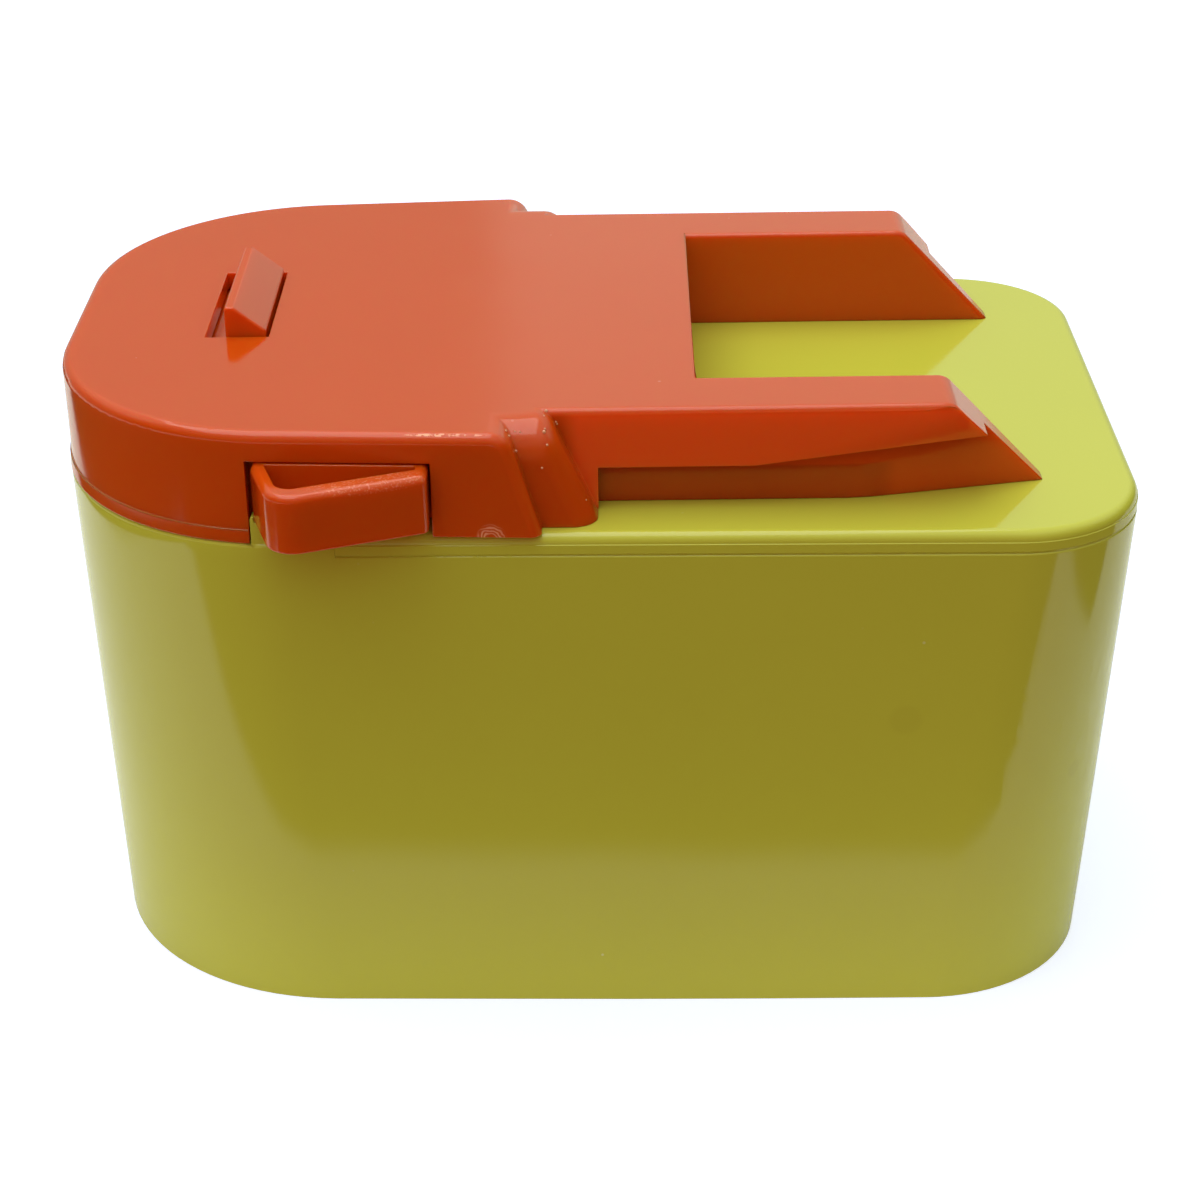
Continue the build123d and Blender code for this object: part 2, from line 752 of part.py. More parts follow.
def head_hollow():
    """Space inside the head: the mechanism's room, the terminals' room and the arms' cores."""
    room = extrude(plan_face(head_plan, head_wall, rim - 1), amount=ceiling - rim + 1)
    inner_end = shoulder_end - shoulder_slant - head_wall
    room &= block(nose_x, inner_end, -head_shoulder_width, head_shoulder_width, rim - 1, ceiling)
    terminals = block(
        inner_end - 1, bay_start - bay_wall, -(groove_y - head_wall), groove_y - head_wall, deck - 1, ceiling
    )
    core = block(
        arm_core_start,
        arm_core_end,
        arm_y - arm_core_width / 2,
        arm_y + arm_core_width / 2,
        deck - 1,
        deck + arm_core_height,
    )
    return room + terminals + both_sides(core)


def head_cuts():
    """Latch slot, button windows and the three slots for the tool's blades."""
    slot = block(
        latch_slot_start,
        latch_slot_end,
        latch_offset - latch_slot_width / 2,
        latch_offset + latch_slot_width / 2,
        ceiling - 1,
        top + 1,
    )
    window = block(
        window_start, window_end, head_nose_width / 2 - 3 * head_wall, head_shoulder_width, rim - 1, deck + window_height
    )
    cuts = slot + both_sides(window)
    for y in terminal_places().values():
        cuts += block(
            bay_start - 2 * bay_wall,
            bay_start + 1,
            y - terminal_slot_width / 2,
            y + terminal_slot_width / 2,
            deck + terminal_slot_bottom,
            deck + terminal_slot_bottom + terminal_slot_height,
        )
    return cuts


def head_bosses():
    """Screw bosses at the nose and the ribs that guide the buttons' arms."""
    bosses = Part()
    for x, y in head_screw_places()[:2]:
        bosses += post(x, y, deck, ceiling + head_top_wall / 2, head_boss_radius)
    inner = plate_width / 2 + 2
    outer = flange_outer - flange_thickness - button_travel - fit_gap
    for side in (-1, 1):
        x = arm_centre + side * (arm_width / 2 + fit_gap + guide_rib / 2)
        rib = block(x - guide_rib / 2, x + guide_rib / 2, inner, outer, ceiling - guide_depth, ceiling + 0.5)
        bosses += both_sides(rib)
    return bosses


def interface_head():
    """The whole orange head, with pilot holes for the screws that come up through the lid."""
    body = wide_block() + neck() + rails() - head_hollow() + head_bosses() - head_cuts()
    for x, y in head_screw_places():
        body -= post(x, y, deck - 1, deck + head_screw_length, screw_pilot)
    return body


# Latch

def latch():
    """Wedge that catches the tool, on a block that fills its slot and a plate that the cams press."""
    front = latch_slot_start + latch_gap
    back = latch_slot_end - latch_gap
    ledge = latch_block_top
    wedge_profile = [
        (ridge_start, ledge - 1),
        (ridge_start, top + latch_rise),
        (ridge_end, top + latch_rise),
        (back, top + ramp_foot),
        (back, ledge - 1),
    ]
    half = latch_slot_width / 2 - latch_gap
    wedge = side_prism(wedge_profile, latch_offset - half, latch_offset + half)
    wedge = fillet(wedge.edges().group_by(Axis.Z)[-1].filter_by(Axis.Y), (ridge_end - ridge_start) * 0.4)
    base = block(
        latch_slot_start - latch_flange,
        latch_slot_end + latch_flange,
        latch_offset - half - latch_flange,
        latch_offset + half + latch_flange,
        deck + plate_bottom,
        ledge,
    )
    plate = block(
        latch_slot_end, plate_end, -plate_width / 2, plate_width / 2, deck + plate_bottom, plate_top
    )
    slopes = plate.edges().group_by(Axis.Z)[-1].filter_by(Axis.X)
    plate = chamfer(slopes, plate_thickness - 0.01)
    peg = post(
        latch_spring_x, 0, deck + plate_bottom - spring_peg_height, deck + plate_bottom, spring_peg_radius
    )
    peg = chamfer(peg.edges().group_by(Axis.Z)[0], spring_peg_radius * 0.3)
    return wedge + base + plate + peg


# Release buttons

def button_outline(inner, nose_wall, front_wall, tail_wall):
    """Plan of a button's outer part on the far side, or of its pocket when walls are given."""
    x0 = window_start + button_side_gap
    x1 = window_end - button_hinge_gap
    straight = half_width(head_plan, x0) + button_nose_straight
    slope = (button_y_nose - button_y_tail) / (x1 - x0 - button_flare)
    lean = button_flare / (button_y_nose - straight)

    def front(x):
        return button_y_tail + slope * (x1 - x) - front_wall * math.hypot(1, slope)

    def nose(y):
        return x0 + nose_wall + lean * (y - straight)

    corner_x = x0 + button_flare + nose_wall
    for _ in range(20):
        corner_x = nose(front(corner_x))
    end = x1 - tail_wall
    points = [(end, inner(end)), (end, front(end)), (corner_x, front(corner_x))]
    if nose_wall:
        points.append((nose(inner(nose(straight))), inner(nose(straight))))
    else:
        points += [(x0, straight), (x0, inner(x0))]
    return points


def release_button():
    """Hollow wedge-shaped button with a retaining flange and an arm that ends in a cam."""
    inner = flange_outer - flange_thickness / 2
    points = button_outline(lambda x: inner, 0, 0, 0)
    face = Polygon(*points, align=None)
    ordered = face.vertices().sort_by(Axis.Y)
    face = fillet(ordered[-1:], button_corner)
    tail = face.vertices().filter_by(lambda v: v.Y > inner + 1).sort_by(Axis.X)[-1:]
    face = fillet(tail, button_tail_corner)
    outer = extrude(Pos(0, 0, deck + button_bottom) * face, amount=button_top - button_bottom)
    rounded = outer.edges().filter_by(lambda e: e.center().Y > inner + 1)
    outer = fillet(rounded.group_by(Axis.Z)[-1], button_edge_radius)
    rounded = outer.edges().filter_by(lambda e: e.center().Y > inner + 1)
    outer = fillet(rounded.group_by(Axis.Z)[0], button_foot_radius)
    pocket = Polygon(
        *button_outline(
            lambda x: half_width(head_plan, x) + button_back_wall,
            button_nose_wall,
            button_front_wall,
            button_tail_wall,
        ),
        align=None,
    )
    pocket = fillet(pocket.vertices().sort_by(Axis.Y)[-1:], pocket_corner)
    outer -= extrude(Pos(0, 0, deck + button_bottom + button_floor) * pocket, amount=head_height)
    flange = block(
        window_start - flange_overlap,
        window_end + flange_overlap,
        flange_outer - flange_thickness,
        flange_outer,
        deck + flange_clearance,
        ceiling - arm_ceiling_gap,
    )
    return outer + flange + cam_arm()


def cam_arm():
    """Arm below the ceiling whose sloping end presses the latch's plate down."""
    arm_top = ceiling - arm_ceiling_gap
    low = deck + plate_bottom
    reach = plate_width / 2 + cam_gap
    rise = arm_top - low
    root = flange_outer - flange_thickness / 2
    points = [
        (root, arm_top),
        (reach - rise, arm_top),
        (reach, low),
        (reach + arm_foot, low),
        (reach + arm_foot, arm_top - arm_thickness),
        (root, arm_top - arm_thickness),
    ]
    face = Plane.YZ.offset(arm_centre - arm_width / 2) * Polygon(*points, align=None)
    return extrude(face, amount=arm_width)


# Springs

def coil(radius, wire, turns, height):
    """Compression coil with its axis along Z, from 0 to height."""
    pitch = (height - wire) / turns
    path = Helix(pitch, height - wire, radius)
    start = Plane(path @ 0, z_dir=path % 0)
    return Pos(0, 0, wire / 2) * sweep(start * Circle(wire / 2), path=path)


def latch_spring():
    """Coil in the lid's cup that lifts the latch."""
    room = cup_depth + plate_bottom - 0.1
    return Pos(latch_spring_x, 0, deck - cup_depth + 0.05) * coil(
        latch_spring_radius, latch_spring_wire, latch_spring_turns, room
    )


def button_spring():
    """Coil between the lid's post and the button's flange, on the far side."""
    room = flange_outer - flange_thickness - post_face - 0.1
    turned = Rot(-90, 0, 0) * coil(button_spring_radius, button_spring_wire, button_spring_turns, room)
    return Pos(button_spring_x, post_face + 0.05, deck + button_spring_height) * turned


# Terminals

def terminal_places():
    """Where the three blade slots lie across the head."""
    return {"positive": terminal_spacing, "signal": 0.0, "negative": -terminal_spacing}


def terminal_block():
    """Insulating block behind the end wall, with a pocket and a mouth for each clip."""
    end = bay_start - bay_wall - block_clearance
    body = block(
        block_start, end, -block_width / 2, block_width / 2, deck + block_clearance, deck + block_height
    )
    body = chamfer(body.edges().filter_by(Axis.Z), 1.0)
    low = deck + terminal_slot_bottom
    high = low + terminal_slot_height
    for y in terminal_places().values():
        body -= block(clip_back - 1, clip_mouth + 0.6, y - clip_pocket_width / 2, y + clip_pocket_width / 2, low, high)
        body -= block(0, end + 1, y - terminal_slot_width / 2, y + terminal_slot_width / 2, low, high)
        body -= block(
            clip_back - 1,
            clip_back + 1,
            y - tail_width_of_clip / 2 - fit_gap,
            y + tail_width_of_clip / 2 + fit_gap,
            deck - 1,
            high,
        )
    return body


def terminal_clip(name, tab_way):
    """Forked clip for one blade, with a tail through the lid that ends in a solder tab."""
    y = terminal_places()[name]
    w = clip_half_width
    points = [
        (clip_mouth, w),
        (clip_pinch_x, clip_pinch),
        (clip_pinch_x - 3, w),
        (clip_back, w),
        (clip_back, -w),
        (clip_pinch_x - 3, -w),
        (clip_pinch_x, -clip_pinch),
        (clip_mouth, -w),
    ]
    base = deck + terminal_slot_bottom + (terminal_slot_height - clip_height) / 2
    line = FilletPolyline(*points, radius=0.6)
    section = Plane(line @ 0, x_dir=(0, 0, 1), z_dir=line % 0) * Rectangle(clip_height, clip_thickness)
    fork = Pos(0, y, base + clip_height / 2) * sweep(section, path=line)
    tail = strip(
        [(clip_back + tab_way * tail_tab, tail_level), (clip_back, tail_level), (clip_back, base + clip_height / 2)],
        0.8,
        clip_thickness,
        tail_width_of_clip,
    )
    return fork + Pos(0, y, 0) * tail


# Wires and the resistor

def lead(points):
    """Insulated wire along straight runs joined by arcs as large as the runs allow."""
    corners = [Vector(*p) for p in points]
    radii = []
    for before, here, after in zip(corners, corners[1:], corners[2:]):
        run = min((here - before).length, (after - here).length)
        turn = math.radians((here - before).get_angle(after - here))
        radii.append(0.45 * run / math.tan(turn / 2))
    path = FilletPolyline(*corners, radius=radii)
    section = Plane(path @ 0, z_dir=path % 0) * Circle(wire_radius)
    wire = sweep(section, path=path)
    print("lead", round(path.length, 1), "mm, tightest bend", round(min(radii), 1), "mm")
    return wire


def lead_positive():
    """Red lead from the positive clip round to the stem contact at the nose side."""
    y = terminal_places()["positive"]
    start_x = clip_back - tail_tab
    contact_x, contact_y, _ = contact_slots()["positive"]
    end_x = contact_x - contact_tab
    return lead([
        (start_x, y, tail_level),
        (start_x - lead_run, y, tail_level),
        (end_x - lead_step, y + lead_step, tail_level - lead_step),
        (end_x - lead_swing, contact_y + lead_run, tab_level + lead_lift),
        (end_x - lead_turn, contact_y, tab_level),
        (end_x, contact_y, tab_level),
    ])


def lead_negative():
    """Black lead from the negative clip round to the stem contact at the tail side."""
    y = terminal_places()["negative"]
    start_x = clip_back + tail_tab
    contact_x, contact_y, _ = contact_slots()["negative"]
    end_x = contact_x + contact_tab
    return lead([
        (start_x, y, tail_level),
        (start_x + 1.4 * lead_run, y, tail_level),
        (start_x + lead_reach, y - lead_step, tail_level - lead_step),
        (end_x + 0.7 * lead_turn, y + lead_lift, tab_level + lead_lift),
        (end_x + lead_swing, contact_y - lead_turn, tab_level + 0.6 * lead_lift),
        (end_x + lead_turn, contact_y, tab_level),
        (end_x, contact_y, tab_level),
    ])


def lead_signal():
    """Yellow lead from the resistor round to the stem contact at the side."""
    start_x = clip_back + tail_tab + 2 * resistor_lead + resistor_length
    contact_x, contact_y, _ = contact_slots()["signal"]
    end_y = contact_y + contact_tab
    return lead([
        (start_x, 0, tail_level),
        (start_x + lead_run, 0, tail_level),
        (start_x + 1.5 * lead_run, lead_run, tail_level - lead_step),
        (start_x + 1.4 * lead_run, end_y - 0.5 * lead_turn, tail_level - lead_lift),
        (contact_x + 0.8 * lead_turn, end_y + lead_turn, tab_level + lead_step),
        (contact_x, end_y + lead_turn, tab_level),
        (contact_x, end_y, tab_level),
    ])


def identification_resistor():
    """Resistor in the signal line: a barrel with swollen ends on two straight leads."""
    start = clip_back + tail_tab
    whole = 2 * resistor_lead + resistor_length
    axis = Pos(start, 0, tail_level) * Rot(0, 90, 0)
    align = (Align.CENTER, Align.CENTER, Align.MIN)
    leads = Cylinder(resistor_lead_radius, whole, align=align)
    waist = Cylinder(resistor_radius * 0.86, resistor_length, align=align)
    cap = Cylinder(resistor_radius, resistor_length * 0.28, align=align)
    cap = fillet(cap.edges().filter_by(GeomType.CIRCLE), resistor_radius * 0.35)
    body = waist + cap + Pos(0, 0, resistor_length * 0.72) * cap
    return axis * (leads + Pos(0, 0, resistor_lead) * body)


# Screws

def housing_screws():
    """Four screws that come up the housing's posts into the lid."""
    return [screw(x, y, screw_seat, screw_length) for x, y in corner_posts()]


def head_screws():
    """Four screws that come up through the lid into the head."""
    return [
        screw(x, y, seam, lid_thickness + head_screw_length - 1.0)
        for x, y in head_screw_places()
    ]


def carrier_screws():
    """Two screws that hold the contact carrier on the sleeve."""
    y = socket_width / 2 + socket_wall + carrier_ear_offset
    reach = carrier_thickness + carrier_boss_depth - 2
    return [screw(socket_centre, sign * y, carrier_top, reach, up=-1) for sign in (-1, 1)]


def main():
    button = release_button()
    spring = button_spring()
    nodes = {
        "housing": housing(),
        "socket_sleeve": socket_sleeve(),
        "contact_carrier": contact_carrier(),
        "stem_contact_positive": stem_contact("positive"),
        "stem_contact_negative": stem_contact("negative"),
        "stem_contact_signal": stem_contact("signal"),
        "lid": lid(),
        "interface_head": interface_head(),
        "latch": latch(),
        "release_button_front": mirror(button, about=Plane.XZ),
        "release_button_rear": button,
        "latch_spring": latch_spring(),
        "button_spring_front": mirror(spring, about=Plane.XZ),
        "button_spring_rear": spring,
        "terminal_block": terminal_block(),
        "terminal_clip_positive": terminal_clip("positive", -1),
        "terminal_clip_negative": terminal_clip("negative", 1),
        "terminal_clip_signal": terminal_clip("signal", 1),
        "lead_positive": lead_positive(),
        "lead_negative": lead_negative(),
        "lead_signal": lead_signal(),
        "identification_resistor": identification_resistor(),
        "housing_screws": housing_screws(),
        "head_screws": head_screws(),
        "carrier_screws": carrier_screws(),
    }
    for name, shape in nodes.items():
        if isinstance(shape, list):
            shape = Compound(children=[piece.solid() for piece in shape])
        export_step(shape, f"parts/{name}.step")
        print(name, "solids", len(shape.solids()))


main()
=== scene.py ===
# %% [markdown]
# # A battery adapter, dressed and lit
# The object is a hand-sized adapter. A deep lime-green housing takes a battery's stem from below, and an orange
# head on top slides into a tool. Both are glossy moulded ABS. The shapes come from the imported CAD model, which this
# script loads first and never changes. The lesson adds what a CAD model lacks: finishes, softened edges, wound
# springs, marks of use, a painted glow, shade and highlights on the orange, and the light of a room with a large
# window.

# %% Load the imported model
import math

import bmesh
import bpy
from mathutils import Matrix, Vector


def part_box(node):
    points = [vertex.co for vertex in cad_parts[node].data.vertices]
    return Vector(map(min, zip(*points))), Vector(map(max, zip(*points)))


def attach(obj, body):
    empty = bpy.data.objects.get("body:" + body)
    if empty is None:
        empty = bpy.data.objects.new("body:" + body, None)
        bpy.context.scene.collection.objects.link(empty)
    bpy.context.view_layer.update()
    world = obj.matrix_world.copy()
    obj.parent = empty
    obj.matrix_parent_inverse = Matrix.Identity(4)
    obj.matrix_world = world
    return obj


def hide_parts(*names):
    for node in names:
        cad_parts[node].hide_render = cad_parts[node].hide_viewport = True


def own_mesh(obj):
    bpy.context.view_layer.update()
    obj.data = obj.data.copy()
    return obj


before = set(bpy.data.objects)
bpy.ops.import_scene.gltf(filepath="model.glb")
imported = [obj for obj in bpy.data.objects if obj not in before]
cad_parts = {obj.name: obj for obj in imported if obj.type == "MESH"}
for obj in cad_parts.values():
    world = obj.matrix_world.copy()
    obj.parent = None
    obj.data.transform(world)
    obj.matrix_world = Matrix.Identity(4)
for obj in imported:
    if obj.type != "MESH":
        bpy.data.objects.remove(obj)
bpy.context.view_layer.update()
MM = 0.001


# %% [markdown]
# ## The camera
# The photograph was taken from about 0.35 m away, looking 27 degrees down at the long side. The place and the three
# turns below put the corners of the head, the arms and the lid where the photograph shows them. A long lens of 81 mm
# on a 36 mm wide sensor gives the same weak perspective.

# %% Place the camera
def put_in_scene(name, data):
    thing = bpy.data.objects.new(name, data)
    bpy.context.scene.collection.objects.link(thing)
    return thing


camera_place = Vector((0.002298, -0.292254, 0.18336))
pitch, yaw, roll = math.radians(27.153), math.radians(-0.377), math.radians(0.876)
forward = Vector((math.sin(yaw) * math.cos(pitch), math.cos(yaw) * math.cos(pitch), -math.sin(pitch)))
level_right = Vector((math.cos(yaw), -math.sin(yaw), 0))
level_down = forward.cross(level_right)
right = math.cos(roll) * level_right + math.sin(roll) * level_down
down = math.cos(roll) * level_down - math.sin(roll) * level_right

lens = bpy.data.cameras.new("camera")
lens.lens = 81
lens.sensor_width = 36
camera = put_in_scene("camera", lens)
camera.matrix_world = Matrix.Translation(camera_place) @ Matrix((right, -down, -forward)).transposed().to_4x4()
bpy.context.scene.camera = camera
print("camera", round(math.degrees(pitch), 1), "degrees down, lens", lens.lens, "mm")


# %% [markdown]
# ## Helpers for materials
# Colours are written as sRGB hex values, as a paint chart gives them, and Blender's shaders want linear light, so
# one function turns one into the other. A second function adds a node, with its options and its inputs, and that is
# nearly all that a procedural material needs: every material below is a list of such calls. An input can be a plain
# value or another node's output, and one without a name of its own goes by its place, as in at0 and at1. Sums and
# mixed colours come so often that each has a helper of its own.

# %% Colour and node helpers
def linear(hex_colour):
    channels = [int(hex_colour[i:i + 2], 16) / 255 for i in (1, 3, 5)]
    return [c / 12.92 if c <= 0.04045 else ((c + 0.055) / 1.055) ** 2.4 for c in channels] + [1.0]


def add_node(tree, kind, options=None, **inputs):
    node = tree.nodes.new(kind)
    for option, value in (options or {}).items():
        setattr(node, option, value)
    for key, value in inputs.items():
        socket = node.inputs[int(key[2:]) if key.startswith("at") else key.replace("_", " ")]
        if isinstance(value, bpy.types.NodeSocket):
            tree.links.new(socket, value)
        else:
            socket.default_value = value
    return node


def maths(tree, operation, *values):
    places = {f"at{place}": value for place, value in enumerate(values)}
    return add_node(tree, "ShaderNodeMath", {"operation": operation}, **places).outputs[0]


def mix_colours(tree, share, first, second):
    """The second colour's share over the first. Each is a hex value or a node's output."""
    first, second = (linear(colour) if isinstance(colour, str) else colour for colour in (first, second))
    return add_node(tree, "ShaderNodeMix", {"data_type": "RGBA"}, at0=share, at6=first, at7=second).outputs[2]


def new_material(name):
    material = bpy.data.materials.new(name)
    material.use_nodes = True
    material.node_tree.nodes.clear()
    return material, material.node_tree


print("lime", [round(c, 3) for c in linear("#C4C546")])


# %% [markdown]
# ## Soft zones
# The sheet under the object, the parts of the sky and the marks of use all need a mask that is 1 in one zone and
# fades to 0 round it. A zone is a product of soft edges, each of which follows one value, such as x, from where it
# starts to rise to where it is full. A smooth step between the two hides where the edge begins.

# %% A mask from soft edges
def soft_zone(tree, *edges):
    """Each edge is a value, where it starts, where it ends, and, unless they are 0 and 1, the levels there."""
    mask = 1.0
    for value, start, end, *levels in edges:
        low, high = levels or (0.0, 1.0)
        edge = add_node(
            tree, "ShaderNodeMapRange", {"interpolation_type": "SMOOTHSTEP"},
            Value=value, From_Min=start, From_Max=end, To_Min=low, To_Max=high,
        )
        mask = maths(tree, "MULTIPLY", edge.outputs[0], mask)
    return mask


print("an edge fades over the distance between its two places")


# %% [markdown]
# ## The floor
# The object stands on a white sheet. The sheet is small: it ends 62 mm in front of the middle, with corners that
# reach further out, and at both sides. A brown bench shows beyond it, and the pale room again beyond the bench. The
# glossy sides mirror all of this, which is why they are dark above and lighter along the bottom. One plane carries
# all three, told apart by soft zones. To the camera the floor stays white and shows only the shadow.

# %% White sheet with the bench round it
FLOOR_HALF = 0.9
FLOOR_LIFT = 0.62
BENCH_EDGE = (-0.003, 0.006)
# Each straight edge is a, b and c of a x + b y + c, in metres, which is above 0 on the bench's side of it.
# A point has left the sheet by one side where it is past all of that side's edges.
SHEET_SIDES = (
    ((0.0, -1.0, -0.0625), (0.34, -1.0, -0.0455), (-0.83, -1.0, -0.01104)),  # front, with both corners drawn out
    ((-1.0, 0.0, -0.156),),  # left end
    ((1.0, 0.0, -0.124), (1.0, -2.0, -0.184)),  # right end, which slants away towards the back
)


def floor_material():
    material, tree = new_material("floor_white_sheet")
    place = add_node(tree, "ShaderNodeTexCoord")
    axes = add_node(tree, "ShaderNodeSeparateXYZ", Vector=place.outputs["Object"])
    x, y = axes.outputs["X"], axes.outputs["Y"]
    outside = -FLOOR_HALF
    for side in SHEET_SIDES:
        past = FLOOR_HALF
        for a, b, c in side:
            line = maths(tree, "MULTIPLY_ADD", y, b, maths(tree, "MULTIPLY_ADD", x, a, c))
            past = maths(tree, "MINIMUM", line, past)
        outside = maths(tree, "MAXIMUM", past, outside)
    bench = soft_zone(tree, (outside, *BENCH_EDGE))
    room_in_front = soft_zone(tree, (y, -0.300, -0.330), (x, -0.020, -0.040))
    room_at_left = soft_zone(tree, (x, -0.228, -0.245))
    room = maths(tree, "MAXIMUM", room_in_front, room_at_left)
    around = mix_colours(tree, room, "#664828", "#EDEAE4")
    mirrored = add_node(tree, "ShaderNodeBsdfDiffuse", Color=mix_colours(tree, bench, "#F4F4F2", around))
    plain = add_node(tree, "ShaderNodeBsdfDiffuse", Color=linear("#BEC8F4"))
    lift = add_node(tree, "ShaderNodeEmission", Color=(1, 1, 1, 1), Strength=FLOOR_LIFT)
    seen = add_node(tree, "ShaderNodeAddShader", at0=plain.outputs[0], at1=lift.outputs[0])
    path = add_node(tree, "ShaderNodeLightPath")
    both = add_node(
        tree, "ShaderNodeMixShader",
        at0=path.outputs["Is Camera Ray"], at1=mirrored.outputs[0], at2=seen.outputs[0],
    )
    add_node(tree, "ShaderNodeOutputMaterial", Surface=both.outputs[0])
    return material


sheet_mesh = bpy.data.meshes.new("floor")
work = bmesh.new()
bmesh.ops.create_grid(work, x_segments=1, y_segments=1, size=FLOOR_HALF)
work.to_mesh(sheet_mesh)
work.free()
sheet_mesh.materials.append(floor_material())
floor = put_in_scene("floor", sheet_mesh)
print("floor", 2 * FLOOR_HALF, "m wide")

# %% [markdown]
# ## The sky
# A real room lights from all sides, most of all through its window. The world stands in for it: bright and slightly
# green overhead, dimmer along the horizon, warm in front and cool white behind, and darker towards both ends. The
# gloss on the object's front mirrors the dim part of the room behind the camera, so glossy rays find less light
# there. The camera itself sees plain white.

# %% Bright above, dimmer along the horizon
OVERHEAD_LEVEL, FRONT_LEVEL, GLOSSY_DIMMING = 1.01, 0.78, -0.6

world = bpy.data.worlds.new("window_light")
bpy.context.scene.world = world
world.use_nodes = True
tree = world.node_tree
tree.nodes.clear()
way = add_node(tree, "ShaderNodeTexCoord")
axes = add_node(tree, "ShaderNodeSeparateXYZ", Vector=way.outputs["Generated"])
x, y, z = axes.outputs["X"], axes.outputs["Y"], axes.outputs["Z"]
overhead = soft_zone(tree, (z, 0.28, 0.70))
to_back = soft_zone(tree, (y, -0.4, 0.4))
back_level = soft_zone(tree, (x, -0.050, -0.034, 0.44, 0.74))
ends = soft_zone(tree, (x, -0.55, -0.92, 1.0, 0.45), (x, 0.25, 0.80, 1.0, 0.05))
around = add_node(tree, "ShaderNodeMix", {"data_type": "FLOAT"}, at0=to_back, at2=FRONT_LEVEL, at3=back_level)
horizon = maths(tree, "MULTIPLY", around.outputs[0], ends)
strength = add_node(tree, "ShaderNodeMix", {"data_type": "FLOAT"}, at0=overhead, at2=horizon, at3=OVERHEAD_LEVEL)
warm_to_white = mix_colours(tree, to_back, "#F2B088", "#F6FFEE")
tint = mix_colours(tree, overhead, warm_to_white, "#F4FFEE")

# %% What the gloss and the camera find there
path = add_node(tree, "ShaderNodeLightPath")
dim_room = soft_zone(tree, (y, 0.10, -0.15), (z, 0.90, 0.70))
on_gloss = maths(tree, "MULTIPLY", dim_room, path.outputs["Is Glossy Ray"])
dimmed = maths(tree, "MULTIPLY_ADD", on_gloss, GLOSSY_DIMMING, 1.0)
shown = maths(tree, "MULTIPLY", strength.outputs[0], dimmed)
sky = add_node(tree, "ShaderNodeBackground", Color=tint, Strength=shown)
white = add_node(tree, "ShaderNodeBackground", Color=(1, 1, 1, 1), Strength=1.0)
mixed = add_node(
    tree, "ShaderNodeMixShader", at0=path.outputs["Is Camera Ray"], at1=sky.outputs[0], at2=white.outputs[0]
)
add_node(tree, "ShaderNodeOutputWorld", Surface=mixed.outputs[0])
print("sky of", len(tree.nodes), "nodes")

# %% [markdown]
# ## The lamp
# One broad and weak lamp hangs above, a little to the left. It gives the shadow under the button and the light along
# the upper edges a direction, which a sky alone leaves too even.

# %% Hang a broad lamp above the object
lamp_place, lamp_aim = Vector((-0.12, 0.02, 0.62)), Vector((0.0, 0.0, 0.03))
lamp = bpy.data.lights.new("lamp_above_left", "AREA")
lamp.energy = 1.7
lamp.shape = "RECTANGLE"
lamp.size, lamp.size_y = 0.62, 0.46
holder = put_in_scene("lamp_above_left", lamp)
turn = (lamp_aim - lamp_place).to_track_quat("-Z", "Y").to_matrix().to_4x4()
holder.matrix_world = Matrix.Translation(lamp_place) @ turn
print("one lamp of", round(lamp.energy, 1), "W")


# %% [markdown]
# ## Marks of use, and painted glints
# The photographed adapter isn't new. There are two faint stains on the green, and on the orange a scrape of fine
# arcs and a grainy rubbed edge on the button. Pale glints along the orange top edge are a painted highlight in the
# same pale colour as the marks. A texture could carry them, but then it would need an image. Here each mark and glint
# is a mask round a place on the object, broken up by noise. A noise's Scale says how many of its cells fit in a
# metre, so the cells of a Scale of 1500 are 0.7 mm wide.

# %% Masks round a place
FULL_SHARE = 0.6
STAIN_STRENGTH = 0.06


def near(tree, where, place_mm, reach_mm, stretch=(1.0, 1.0, 1.0)):
    """How far a point is from a place, along stretched axes, and a mask, which fades over the last of its reach."""
    offset = add_node(
        tree, "ShaderNodeVectorMath", {"operation": "SUBTRACT"}, at0=where, at1=[v * MM for v in place_mm]
    )
    scaled = add_node(
        tree, "ShaderNodeVectorMath", {"operation": "MULTIPLY"}, at0=offset.outputs[0], at1=stretch
    )
    length = add_node(tree, "ShaderNodeVectorMath", {"operation": "LENGTH"}, at0=scaled.outputs[0])
    distance = length.outputs["Value"]
    return distance, soft_zone(tree, (distance, reach_mm * MM, reach_mm * MM * FULL_SHARE))


def green_wear(tree, where):
    """Two faint brown stains on the front and the right corner."""
    stains = 0.0
    for place_mm, reach_mm in (((33.6, -37.5, 37.6), 2.2), ((53.3, -32.2, 28.1), 1.3)):
        stains = maths(tree, "MAXIMUM", near(tree, where, place_mm, reach_mm)[1], stains)
    return maths(tree, "MULTIPLY", stains, STAIN_STRENGTH), "#7A5420"


print("two stains")


# %% Marks on the orange
ARC_SPACING = 0.40 * MM
ARC_DRIFT = 1.6 * MM
ARC_GRAIN = 1.6


def scrape(tree, where):
    """Fine arcs low on the shoulder: rings round a place, bent and broken by noise, with a bare middle."""
    distance, arch = near(tree, where, (-10.65, -38.0, 60.25), 1.75, (1.0, 1.0, 0.90))
    bend = add_node(tree, "ShaderNodeTexNoise", Scale=520.0, Detail=2.0, Vector=where)
    bent = maths(tree, "ADD", distance, maths(tree, "MULTIPLY", bend.outputs["Fac"], ARC_DRIFT))
    rings = maths(tree, "SINE", maths(tree, "MULTIPLY", bent, 2 * math.pi / ARC_SPACING))
    grain = add_node(tree, "ShaderNodeTexNoise", Scale=2600.0, Detail=2.0, Vector=where)
    broken = maths(tree, "MULTIPLY_ADD", grain.outputs["Fac"], ARC_GRAIN, rings)
    lines = soft_zone(tree, (broken, 0.7, 1.4, 0.12, 1.0), (distance, 0.35 * MM, 0.75 * MM))
    return maths(tree, "MULTIPLY", lines, arch)


